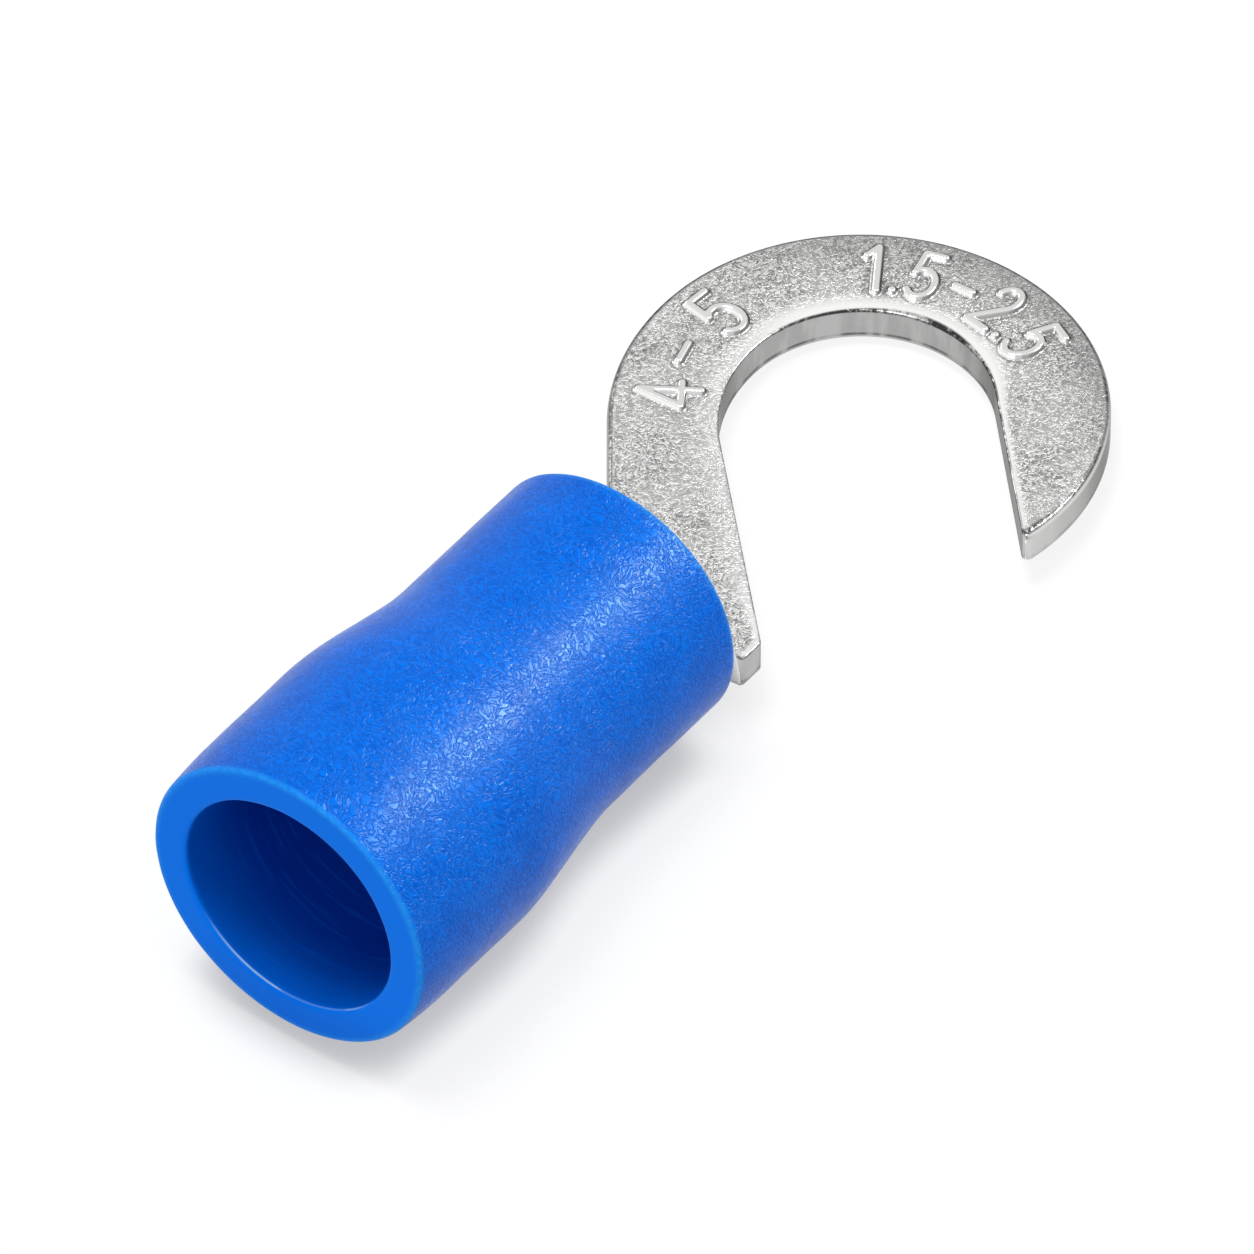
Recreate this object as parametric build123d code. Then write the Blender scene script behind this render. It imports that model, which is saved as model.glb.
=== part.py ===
from build123d import *
import os
from math import atan2, cos, degrees, pi, radians, sin, sqrt

# Insulated hook terminal for an M5 stud: one stamped and rolled tinned-copper body, one PVC sleeve.
# Millimetres. Origin at the stud centre on the underside of the tongue, +Y from the wire entry
# towards the hook, +X to the side where the hook opens, +Z up out of the tongue.

# Sheet and hook
sheet_thickness = 0.75
stud_diameter = 5.0
stud_clearance = 0.1
hook_outer_radius = 4.8
mouth_angle = 43.5
tip_radius = 0.12

# Neck between the hook and the barrel
neck_width = 4.6
neck_inner_angle = 44.5
neck_outer_angle = 36.5
neck_inner_flare = 0.26
neck_outer_flare = 0.13
shoulder_radius = 0.25
edge_roll = 0.15
edge_break = 0.05

# Wire barrel and the curled stretch ahead of it
barrel_outer_diameter = 3.8
barrel_length = 5.0
barrel_seam = 0.08
barrel_entry_chamfer = 0.3
barrel_proud = 0.1
curl_length = 1.1
curl_to_stud = 6.74
curl_width_power = 5
curl_bend_start = 2.5
curl_bend_power = 6
curl_spans = 7
curl_span_growth = 1.5

# PVC sleeve
sleeve_length = 10.5
entry_outer_radius = 3.25
entry_rim_radius = 3.17
entry_bore_radius = 2.42
grip_outer_radius = 2.84
entry_crown = 1.5
entry_depth = 3.6
taper_length = 3.4
funnel_length = 0.5
front_round = 0.12
rim_round = 0.08

# Values that follow from the ones above
slot_radius = stud_diameter / 2 + stud_clearance
neck_inner_offset = slot_radius + neck_inner_flare
neck_outer_offset = hook_outer_radius + neck_outer_flare
heel_inner_radius = slot_radius + neck_inner_flare / (1 - cos(radians(neck_inner_angle)))
heel_outer_radius = hook_outer_radius + neck_outer_flare / (1 - cos(radians(neck_outer_angle)))
barrel_outer_radius = barrel_outer_diameter / 2
barrel_bore_radius = barrel_outer_radius - sheet_thickness
barrel_front = -(curl_to_stud + curl_length)
barrel_back = barrel_front - barrel_length
sleeve_front = barrel_front - barrel_proud
sleeve_back = sleeve_front - sleeve_length
axis_height = barrel_outer_radius


def heading(angle):
    """Unit direction that points back along the part, turned towards +X by angle degrees."""
    return sin(radians(angle)), -cos(radians(angle))


def line_at(offset, angle, x):
    """Point with the given x on the straight edge that passes offset to the left of the stud."""
    dx, dy = heading(angle)
    normal = (-dy, dx)
    y = (-offset - normal[0] * x) / normal[1]
    return x, y


def circle_point(centre_x, radius, angle):
    """Point on a circle about (centre_x, 0); the angle is counted from +X towards +Y."""
    return centre_x + radius * cos(radians(angle)), radius * sin(radians(angle))


def tongue_outline():
    """Closed outline of the flat tongue, from the curl round the hook and back."""
    half = neck_width / 2
    rear = -curl_to_stud - curl_length / 2
    left_corner = line_at(neck_outer_offset, neck_outer_angle, -half)
    right_corner = line_at(neck_inner_offset, neck_inner_angle, half)

    # The outer edge leaves the hook circle at its far left, with a longer radius down to the neck.
    outer_heel_x = heel_outer_radius - hook_outer_radius
    outer_run = circle_point(outer_heel_x, heel_outer_radius, 180 + neck_outer_angle)
    outer_mid = circle_point(outer_heel_x, heel_outer_radius, 180 + neck_outer_angle / 2)
    outer_left = (-hook_outer_radius, 0)

    inner_heel_x = heel_inner_radius - slot_radius
    inner_run = circle_point(inner_heel_x, heel_inner_radius, 180 + neck_inner_angle)
    inner_mid = circle_point(inner_heel_x, heel_inner_radius, 180 + neck_inner_angle / 2)
    inner_left = (-slot_radius, 0)

    # The tip is where the straight mouth edge, tangent to the stud slot, meets the outer circle.
    tangent = circle_point(0, slot_radius, mouth_angle)
    reach = sqrt(hook_outer_radius**2 - slot_radius**2)
    dx, dy = heading(mouth_angle)
    tip = (tangent[0] + reach * dx, tangent[1] + reach * dy)
    tip_angle = degrees(atan2(tip[1], tip[0]))
    outer_top = circle_point(0, hook_outer_radius, (180 + tip_angle) / 2)
    inner_top = circle_point(0, slot_radius, (180 + mouth_angle) / 2)

    edges = [
        Line((-half, rear), left_corner),
        Line(left_corner, outer_run),
        ThreePointArc(outer_run, outer_mid, outer_left),
        ThreePointArc(outer_left, outer_top, tip),
        Line(tip, tangent),
        ThreePointArc(tangent, inner_top, inner_left),
        ThreePointArc(inner_left, inner_mid, inner_run),
        Line(inner_run, right_corner),
        Line(right_corner, (half, rear)),
        Line((half, rear), (-half, rear)),
    ]
    return make_face(Curve() + edges), tip, left_corner, right_corner


def make_tongue():
    """Flat hook tongue with a rounded tip, rolled-over top edges and broken bottom edges."""
    face, tip, left_corner, right_corner = tongue_outline()
    plate = extrude(face, sheet_thickness)

    def upright_at(point):
        upright = plate.edges().filter_by(Axis.Z)
        return upright.sort_by_distance((*point, sheet_thickness / 2))[0]

    plate = fillet(upright_at(tip), tip_radius)
    plate = fillet(upright_at(right_corner), shoulder_radius)
    plate = fillet(upright_at(left_corner), shoulder_radius)
    plate = fillet(plate.faces().sort_by(Axis.Z)[-1].edges(), edge_roll)
    plate = chamfer(plate.faces().sort_by(Axis.Z)[0].edges(), edge_break)
    behind = Box(
        3 * neck_width, curl_length, 3 * sheet_thickness, align=(Align.CENTER, Align.MAX, Align.CENTER)
    )
    return plate - Pos(0, -curl_to_stud, 0) * behind


def strip_section(y, middle_radius, half_width):
    """Sheet section at y, curled up about the part's length: a C, or a flat strip at radius 0."""
    t = sheet_thickness
    if middle_radius == 0:
        corners = [(-half_width, 0), (half_width, 0), (half_width, t), (-half_width, t)]
        edges = [Line(a, b) for a, b in zip(corners, corners[1:] + corners[:1])]
    else:
        inner, outer = middle_radius - t / 2, middle_radius + t / 2
        wrap = half_width / middle_radius

        def on_arc(radius, angle):
            return radius * sin(angle), outer - radius * cos(angle)

        edges = [
            ThreePointArc(on_arc(outer, -wrap), on_arc(outer, 0), on_arc(outer, wrap)),
            Line(on_arc(outer, wrap), on_arc(inner, wrap)),
            ThreePointArc(on_arc(inner, wrap), on_arc(inner, 0), on_arc(inner, -wrap)),
            Line(on_arc(inner, -wrap), on_arc(outer, -wrap)),
        ]
    plane = Plane(origin=(0, y, 0), x_dir=(1, 0, 0), z_dir=(0, -1, 0))
    return plane * make_face(Curve() + edges)


def make_curl():
    """Stretch where the flat strip curls up into the closed barrel, as a run of short ruled spans.

    The bend leads and the width follows, so the sheet first dishes into a channel as wide as the
    neck, and its edges then climb and close over the barrel. The spans are shortest at the barrel.
    """
    middle = barrel_outer_radius - sheet_thickness / 2
    neck_half = neck_width / 2
    spread = pi * middle - barrel_seam / 2 - neck_half
    sections = []
    for step in range(curl_spans):
        share = (step / curl_spans) ** curl_span_growth
        half_width = neck_half + spread * (1 - share) ** curl_width_power
        bend = (1 - share**curl_bend_start) ** curl_bend_power / middle
        sections.append(strip_section(barrel_front + share * curl_length, 1 / bend, half_width))
    sections.append(strip_section(barrel_front + curl_length, 0, neck_half))
    return loft(sections, ruled=True)


def make_barrel():
    """Closed wire barrel with its butt seam on top and a bell-mouthed entry."""
    middle = barrel_outer_radius - sheet_thickness / 2
    ring = strip_section(barrel_back, middle, pi * middle - barrel_seam / 2)
    barrel = extrude(ring, barrel_length, dir=(0, 1, 0))
    bell = Cone(
        barrel_bore_radius + barrel_entry_chamfer, barrel_bore_radius, barrel_entry_chamfer,
        align=(Align.CENTER, Align.CENTER, Align.MIN),
    )
    return barrel - Pos(0, barrel_back, axis_height) * Rot(-90, 0, 0) * bell


def make_body():
    """The whole stamped and rolled body: tongue, curl and barrel in one piece of sheet."""
    return make_tongue() + make_curl() + make_barrel()


def make_sleeve():
    """PVC sleeve, turned about its axis: wide entry, soft taper and the part that grips the barrel."""
    back, front = 0, sleeve_length
    seat = barrel_back - sleeve_back
    seat_radius = barrel_bore_radius + barrel_entry_chamfer
    taper_end = entry_depth + taper_length
    taper_pull = taper_length / 3
    profile = [
        Line((entry_bore_radius, back), (entry_rim_radius, back)),
        TangentArc((entry_outer_radius, entry_crown), (entry_rim_radius, back), tangent=(0, -1)),
        Line((entry_outer_radius, entry_crown), (entry_outer_radius, entry_depth)),
        Bezier(
            (entry_outer_radius, entry_depth), (entry_outer_radius, entry_depth + taper_pull),
            (grip_outer_radius, taper_end - taper_pull), (grip_outer_radius, taper_end),
        ),
        Line((grip_outer_radius, taper_end), (grip_outer_radius, front)),
        Line((grip_outer_radius, front), (barrel_outer_radius, front)),
        Line((barrel_outer_radius, front), (barrel_outer_radius, seat)),
        Line((barrel_outer_radius, seat), (seat_radius, seat)),
        Line((seat_radius, seat), (entry_bore_radius, seat - funnel_length)),
        Line((entry_bore_radius, seat - funnel_length), (entry_bore_radius, back)),
    ]
    face = make_face(Curve() + profile)
    face = fillet(face.vertices().sort_by_distance((grip_outer_radius, front))[0], front_round)
    face = fillet(face.vertices().sort_by_distance((entry_rim_radius, back))[0], rim_round)
    face = fillet(face.vertices().sort_by_distance((entry_bore_radius, back))[0], rim_round)
    turned = revolve(Plane.XZ * face, Axis.Z, 360)
    return Pos(0, sleeve_back, axis_height) * Rot(-90, 0, 0) * turned


def main():
    os.makedirs("parts", exist_ok=True)
    export_step(make_body(), "parts/hook_terminal_body.step")
    export_step(make_sleeve(), "parts/insulating_sleeve.step")


main()
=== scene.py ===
import logging
import math
from dataclasses import dataclass
from enum import Enum

import bmesh
import bpy
import numpy as np
from bpy.types import ID, Material, Node, NodeSocket, NodeTree, Object
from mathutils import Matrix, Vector, noise


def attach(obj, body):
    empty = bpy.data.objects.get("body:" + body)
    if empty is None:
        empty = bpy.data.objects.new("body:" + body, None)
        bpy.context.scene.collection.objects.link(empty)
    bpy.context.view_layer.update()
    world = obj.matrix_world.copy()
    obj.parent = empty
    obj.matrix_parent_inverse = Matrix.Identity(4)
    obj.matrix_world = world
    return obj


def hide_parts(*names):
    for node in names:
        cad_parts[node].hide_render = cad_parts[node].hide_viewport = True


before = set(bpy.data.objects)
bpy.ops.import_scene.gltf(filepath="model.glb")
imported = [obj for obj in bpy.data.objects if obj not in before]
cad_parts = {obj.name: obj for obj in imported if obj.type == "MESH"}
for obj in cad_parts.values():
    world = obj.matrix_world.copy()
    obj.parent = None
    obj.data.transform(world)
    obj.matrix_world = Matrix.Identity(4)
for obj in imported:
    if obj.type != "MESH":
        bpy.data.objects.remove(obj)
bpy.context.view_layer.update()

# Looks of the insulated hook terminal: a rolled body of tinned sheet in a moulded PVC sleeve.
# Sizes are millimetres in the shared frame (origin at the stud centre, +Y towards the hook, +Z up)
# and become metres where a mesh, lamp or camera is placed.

MM = 0.001
RIM_PLANE = -18.44  # y of the sleeve's rim, where the wire goes in
AXIS_HEIGHT = 1.9  # z of the axis that the barrel and the sleeve share
Array = np.ndarray
log = logging.getLogger("hook_terminal")


class MaterialSlot(Enum):
    """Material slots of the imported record."""

    TIN = "tinned_copper"
    PVC = "blue_pvc"


def polar(centre_x: float, radius: float, angle: float) -> Array:
    """Point on a circle about (centre_x, 0), at degrees counted from +X towards +Y."""
    turn = math.radians(angle)
    return np.array((centre_x + radius * math.cos(turn), radius * math.sin(turn)))


def fall_off(distance: Array, radius: float) -> Array:
    """Drop of a rolled edge below the flat face, at distances from the edge in plan."""
    short = radius - np.clip(distance, 0.0, radius)
    return radius - np.sqrt(np.maximum(radius**2 - short**2, 0.0))


def ease(value: Array, low: float, high: float) -> Array:
    """Smooth step of value, 0 at low and 1 at high."""
    share = np.clip((value - low) / (high - low), 0.0, 1.0)
    return share * share * (3.0 - 2.0 * share)


def between(first: tuple, last: tuple, share: float) -> tuple:
    """Pair of numbers at a share of the way from the first pair to the last."""
    return first[0] + (last[0] - first[0]) * share, first[1] + (last[1] - first[1]) * share


def shares(count: int) -> list:
    """Shares of a stretch at the ends of its equal pieces."""
    return [k / count for k in range(1, count + 1)]


@dataclass(frozen=True)
class Straight:
    """Straight stretch of an edge of the blank."""

    start: Array
    end: Array

    @property
    def length(self) -> float:
        """Length of the stretch."""
        return float(np.linalg.norm(self.end - self.start))

    def at(self, share: float) -> Array:
        """Point at a share of the stretch."""
        return self.start + share * (self.end - self.start)


@dataclass(frozen=True)
class Arc:
    """Circular stretch of an edge of the blank, angles in degrees."""

    centre: Array
    radius: float
    first: float
    last: float

    @property
    def length(self) -> float:
        """Length of the stretch."""
        return self.radius * math.radians(abs(self.last - self.first))

    def at(self, share: float) -> Array:
        """Point at a share of the stretch."""
        turn = self.first + share * (self.last - self.first)
        return self.centre + polar(0.0, self.radius, turn)


@dataclass(frozen=True)
class Flare:
    """Edge that eases from the wide barrel blank to the neck; side is -1 or 1."""

    side: int
    wide: float
    narrow: float
    back: float
    front: float
    crowding: float = 1.6
    power: int = 5

    @property
    def length(self) -> float:
        """Length of the stretch along the part."""
        return self.front - self.back

    def at(self, share: float) -> Array:
        """Point at a share of the stretch, closer together towards the steep end at the barrel."""
        along = share**self.crowding
        half = self.narrow + (self.wide - self.narrow) * (1.0 - along) ** self.power
        return np.array((self.side * half, self.back + along * self.length))


@dataclass(frozen=True)
class EdgePath:
    """One edge of the blank, from the wire end to the tip of the hook."""

    stretches: tuple

    def run(self, count: int) -> float:
        """Length of the first stretches."""
        return sum(s.length for s in self.stretches[:count])

    def at(self, distance: float) -> Array:
        """Point at a distance along the edge."""
        for stretch in self.stretches[:-1]:
            if distance <= stretch.length:
                return stretch.at(distance / stretch.length)
            distance -= stretch.length
        return self.stretches[-1].at(min(1.0, distance / self.stretches[-1].length))


def bow(centre: tuple, radii: tuple, first: float, last: float, steps: int = 14) -> list:
    """Points on an elliptical arc of a stroke, from the first angle to the last, in degrees."""
    turns = [math.radians(first + (last - first) * i / steps) for i in range(steps + 1)]
    return [(centre[0] + radii[0] * math.cos(t), centre[1] + radii[1] * math.sin(t)) for t in turns]


@dataclass(frozen=True)
class RaisedMarks:
    """Plain numbers pressed up out of the hook: wire and stud sizes, read from outside the hook."""

    radius: float = 3.72
    height: float = 0.1
    flat_half_width: float = 0.035
    foot_half_width: float = 0.14
    foot_shade_half_width: float = 0.022
    box: tuple = (0.8, 1.1)
    placed: tuple = (
        ("4", 213.0, 0.95), ("-", 194.5, 0.95), ("5", 174.5, 0.95),
        ("1", 122.5, 0.8), (".", 115.8, 0.8), ("5", 107.0, 0.8), ("-", 94.2, 0.7),
        ("2", 81.5, 0.8), (".", 72.4, 0.8), ("5", 63.6, 0.8),
    )

    @staticmethod
    def strokes(character: str) -> list:
        """Centre lines of a character: lists of points, (right, up) from its middle."""
        shapes = {
            "1": [[(-0.20, 0.36), (0.07, 0.60), (0.07, -0.60)]],
            "2": [bow((0.0, 0.28), (0.29, 0.32), 165, -35) + [(-0.29, -0.60), (0.31, -0.60)]],
            "4": [[(0.13, -0.60), (0.13, 0.60), (-0.34, -0.22), (0.35, -0.22)]],
            "5": [[(0.27, 0.60), (-0.21, 0.60), (-0.26, 0.05)]
                  + bow((-0.03, -0.22), (0.34, 0.38), 130, -140)],
            "-": [[(-0.27, 0.0), (0.27, 0.0)]],
            ".": [[(0.0, -0.55), (0.0, -0.53)]],
        }
        return shapes[character]

    def centre_distance(self, x: Array, y: Array) -> Array:
        """Distance of each point of the face to the nearest stroke's centre line."""
        nearest = np.full(x.shape, 9.0)
        for character, angle, narrowing in self.placed:
            turn = math.radians(angle)
            right = x * math.sin(turn) - y * math.cos(turn)
            up = x * math.cos(turn) + y * math.sin(turn) - self.radius
            near = (np.abs(right) < self.box[0]) & (np.abs(up) < self.box[1])
            for line in self.strokes(character):
                for (u0, v0), (u1, v1) in zip(line, line[1:]):
                    u0, du, dv = u0 * narrowing, (u1 - u0) * narrowing, v1 - v0
                    share = ((right[near] - u0) * du + (up[near] - v0) * dv) / (du * du + dv * dv)
                    share = np.clip(share, 0.0, 1.0)
                    gap = np.hypot(right[near] - u0 - share * du, up[near] - v0 - share * dv)
                    nearest[near] = np.minimum(nearest[near], gap)
        return nearest

    def raise_of(self, distance: Array) -> Array:
        """Height of the marks at these distances from a stroke's centre line."""
        return self.height * (1.0 - ease(distance, self.flat_half_width, self.foot_half_width))

    def foot_shade_of(self, distance: Array) -> Array:
        """Mask of the painted shade in a narrow band round the base of each stroke, 0 to 1."""
        return np.exp(-(((distance - self.foot_half_width) / self.foot_shade_half_width) ** 2))


@dataclass(frozen=True)
class EdgeBands:
    """Masks of the bright and dark bands along the edges of the tongue's top face: painted highlight
    and painted shade.

    A pair is a fade, over a distance from an edge or, in slot_x and the names that end in _y, over
    a stretch of the part. Point a is a station's end on the outer edge, and b its end at the slot.
    """

    slot_y: tuple = (-1.6, 1.4)
    slot_x: tuple = (1.0, 2.3)
    tip_y: tuple = (-0.9, 0.3)
    arch_angle: float = 97.0
    arch_spread: float = 26.0
    bright: tuple = (0.12, 0.6)
    bright_at_mouth: tuple = (0.05, 0.2)
    bright_least: float = 0.3
    mouth_strength: float = 0.8
    slot_line: tuple = (0.015, 0.055)
    slot_line_at_arch: tuple = (0.075, 0.155)
    line_least: float = 0.7
    arch_strength: float = 0.4
    outer_line: tuple = (0.01, 0.045)
    outer_end: tuple = (0.09, 0.13)
    outer_end_at_tip: tuple = (0.12, 0.19)
    outer_strength: float = 0.95
    shade: tuple = (0.9, 2.1)
    shade_y: tuple = (0.0, 2.2)
    slot_lap: tuple = (0.0, 0.025)
    outer_lap: tuple = (0.0, 0.03)
    slot_flat: tuple = (0.01, 0.04)
    outer_flat: tuple = (0.04, 0.15)

    def slot_wall_shade_strength(self, b: Array) -> float:
        """Strength of the painted shade on the slot's wall."""
        return self.bright_least + (1.0 - self.bright_least) * float(ease(b[1], *self.slot_y))

    def slot_light_and_shade(self, b: Array, slot_gap: Array) -> Array:
        """Painted highlight: bright band round the slot, which narrows along the mouth."""
        narrow = float(ease(b[0], *self.slot_x))
        strength = max(float(ease(b[1], *self.slot_y)), self.mouth_strength * narrow)
        band = 1.0 - ease(slot_gap, *between(self.bright, self.bright_at_mouth, narrow))
        return band * (self.bright_least + (1.0 - self.bright_least) * strength)

    def edge_shade_line(self, a: Array, b: Array, outer_gap: Array, slot_gap: Array) -> Array:
        """Painted shade: thin dark lines along both edges, wider on the slot's arch and near the tip.
        """
        off_arch = (math.degrees(math.atan2(b[1], b[0])) - self.arch_angle) / self.arch_spread
        arch = math.exp(-(off_arch**2))
        strength = self.line_least + (1.0 - self.line_least) * float(ease(b[1], *self.slot_y))
        slot_line = 1.0 - ease(slot_gap, *between(self.slot_line, self.slot_line_at_arch, arch))
        slot_line = np.minimum(slot_line * (strength + self.arch_strength * arch), 1.0)
        near_tip = float(1.0 - ease(a[1], *self.tip_y)) * float(a[0] > 0.0)
        end = between(self.outer_end, self.outer_end_at_tip, near_tip)
        outer_line = ease(outer_gap, *self.outer_line) * (1.0 - ease(outer_gap, *end))
        return np.maximum(slot_line, self.outer_strength * outer_line)

    def outer_shade(self, b: Array, slot_gap: Array) -> Array:
        """Greyer outer part of the hook's far side."""
        return ease(slot_gap, *self.shade) * float(ease(b[1], *self.shade_y))

    def over_edge(self, outer_gap: Array, slot_gap: Array) -> Array:
        """Strip in which the look of the walls laps over the edges."""
        return np.maximum(1.0 - ease(slot_gap, *self.slot_lap), 1.0 - ease(outer_gap, *self.outer_lap))

    def flat_face(self, outer_gap: Array, slot_gap: Array) -> Array:
        """The face inside its rolled edges."""
        return np.minimum(ease(outer_gap, *self.outer_flat), ease(slot_gap, *self.slot_flat))


@dataclass
class TerminalBody:
    """Stamped and rolled body: a flat blank on a grid, its marks pressed up and its barrel rolled."""

    sheet: float = 0.75
    slot_radius: float = 2.6
    hook_radius: float = 4.8
    mouth_angle: float = 43.5
    tip_radius: float = 0.12
    neck_half: float = 2.3
    inner_angle: float = 44.5
    outer_angle: float = 36.5
    inner_flare: float = 0.26
    outer_flare: float = 0.13
    shoulder_radius: float = 0.15
    edge_roll: float = 0.14
    slot_roll: float = 0.035
    edge_break: float = 0.05
    barrel_middle: float = 1.525
    barrel_half_gap: float = 0.04
    barrel_back: float = -12.84
    barrel_front: float = -7.84
    curl_front: float = -6.74
    bell: float = 0.3
    bend_start: float = 2.5
    bend_power: int = 6
    roll_columns: int = 7
    face_columns: int = 100
    wall_levels: tuple = (0.05, 0.5, 0.92)
    under_columns: int = 14
    break_columns: int = 3
    most_rolled: float = 0.42
    near_stations: int = 40
    under_flat: tuple = (0.02, 0.08)
    marks: RaisedMarks = RaisedMarks()
    bands: EdgeBands = EdgeBands()
    MASKS = (
        "flat_face", "cut_wall", "wall_depth", "slot_light_and_shade",
        "edge_shade_line", "outer_shade", "mark_foot_shade", "mark_top",
    )

    def rear(self, side: int, radius: float, flare: float, angle: float) -> tuple:
        """Stretches of one edge of the blank, from the wire end to the hook's far side.

        Args:
            side: 1 for the slot's edge, -1 for the outer one.
            radius: Radius of the edge round the stud.
            flare: How much further out the slanted edge of the neck passes.
            angle: Lean of that edge, in degrees.

        Returns:
            Barrel, curl, neck, shoulder, slanted edge and heel.
        """
        half, barrel_half = self.neck_half, math.pi * self.barrel_middle - self.barrel_half_gap
        back, front = (np.array((side * barrel_half, y)) for y in (self.barrel_back, self.barrel_front))
        lean = math.radians(angle)
        corner_y = (-(radius + flare) - side * math.cos(lean) * half) / math.sin(lean)
        cut = self.shoulder_radius * math.tan(lean / 2)
        turn = Arc(np.array((side * half - self.shoulder_radius, corner_y - cut)),
                   self.shoulder_radius, 0.0, angle)
        more = flare / (1 - math.cos(lean))
        heel = Arc(np.array((more, 0.0)), radius + more, 180 + angle, 180)
        return (
            Straight(back, front), Flare(side, barrel_half, half, self.barrel_front, self.curl_front),
            Straight(np.array((side * half, self.curl_front)), turn.at(0)), turn,
            Straight(turn.at(1), heel.at(0)), heel,
        )

    def outline(self) -> tuple:
        """Outer and slot edge of the blank, as two EdgePath objects."""
        origin = np.zeros(2)
        across = polar(0.0, 1.0, self.mouth_angle)
        along = polar(0.0, 1.0, self.mouth_angle - 90)
        tip_offset = self.slot_radius + self.tip_radius
        reach = math.sqrt((self.hook_radius - self.tip_radius) ** 2 - tip_offset**2)
        tip = tip_offset * across + reach * along
        tip_angle = math.degrees(math.atan2(tip[1], tip[0]))
        inner_start = self.mouth_angle - 180
        point_angle = (tip_angle + inner_start) / 2

        inner = EdgePath((
            *self.rear(1, self.slot_radius, self.inner_flare, self.inner_angle),
            Arc(origin, self.slot_radius, 180, self.mouth_angle),
            Straight(self.slot_radius * across, tip - self.tip_radius * across),
            Arc(tip, self.tip_radius, inner_start, point_angle),
        ))
        outer = EdgePath((
            *self.rear(-1, self.hook_radius, self.outer_flare, self.outer_angle),
            Arc(origin, self.hook_radius, 180, self.mouth_angle),
            Arc(origin, self.hook_radius, self.mouth_angle, tip_angle),
            Arc(tip, self.tip_radius, tip_angle, point_angle),
        ))
        return outer, inner

    def rungs(self, outer: EdgePath, inner: EdgePath) -> tuple:
        """Stations along the blank, each a pair of facing points on its two edges.

        Args:
            outer: The outer edge.
            inner: The inner edge.

        Returns:
            Two arrays of points, one row per station.
        """
        outer_to = [outer.run(count) for count in range(10)]
        inner_to = [inner.run(count) for count in range(10)]
        neck_rise = inner.stretches[2].length
        # Distances along the two edges, and the number of steps up to them: finest under the marks.
        plan = [
            (0.0, 0.0, 0),
            (self.bell, self.bell, 4),
            (outer_to[1], inner_to[1], 10),  # barrel
            (outer_to[2], inner_to[2], 30),  # curl
            (outer_to[2] + neck_rise, inner_to[3], 4),
            (outer_to[2] + neck_rise + 0.18, inner_to[4], 6),  # right shoulder
            (outer_to[3], inner_to[4] + 1.75, 16),
            (outer_to[4], inner_to[4] + 1.92, 4),  # left shoulder
            (outer_to[5] - 0.35, inner_to[5] - 0.35, 24),
            (outer_to[5], inner_to[5], 10),
            (outer_to[6], inner_to[6], 104),  # heel
        ]
        for share, steps in ((0.11, 34), (0.36, 24), (0.94, 220), (1.0, 8)):
            plan.append((
                outer_to[6] + share * outer.stretches[6].length,
                inner_to[6] + share * inner.stretches[6].length, steps,
            ))
        plan += [(outer_to[8], inner_to[8], 44), (outer_to[9], inner_to[9], 10)]  # mouth and tip
        left, right = [outer.at(0.0)], [inner.at(0.0)]
        for (o0, i0, _), (o1, i1, steps) in zip(plan, plan[1:]):
            for share in shares(steps):
                left.append(outer.at(o0 + (o1 - o0) * share))
                right.append(inner.at(i0 + (i1 - i0) * share))
        return np.array(left), np.array(right)

    def edge_distance(self, points: Array, station: int, edges: tuple) -> Array:
        """Distance in plan of one station's points to the nearest edge of the blank.

        Args:
            points: Points across the blank at the station.
            station: Number of the station.
            edges: Arrays of the points on each edge.

        Returns:
            The distance of each point.
        """
        nearest = np.full(len(points), 9.0)
        low, high = max(0, station - self.near_stations), station + self.near_stations + 1
        for edge in edges:
            start, step = edge[low:high][:-1], np.diff(edge[low:high], axis=0)
            size = np.maximum((step**2).sum(1), 1e-12)
            offset = points[:, None, :] - start[None]
            share = np.clip((offset * step[None]).sum(2) / size[None], 0.0, 1.0)
            gap = np.linalg.norm(offset - share[..., None] * step[None], axis=2)
            nearest = np.minimum(nearest, gap.min(1))
        return nearest

    def across(self, width: float, radius: float, edge_steps: int, face_steps: int) -> Array:
        """Shares of a station's width at which columns stand, closer together at the edges."""
        if width < 1e-6:
            return np.linspace(0.0, 1.0, 2 * edge_steps + face_steps + 1)
        radius = min(radius, self.most_rolled * width)
        turns = [math.radians(90.0 * k / edge_steps) for k in range(edge_steps)]
        rim = [radius * (1.0 - math.cos(turn)) for turn in turns]
        face = list(np.linspace(radius, width - radius, face_steps + 1))
        return np.array(rim + face + [width - r for r in reversed(rim)]) / width

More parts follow.
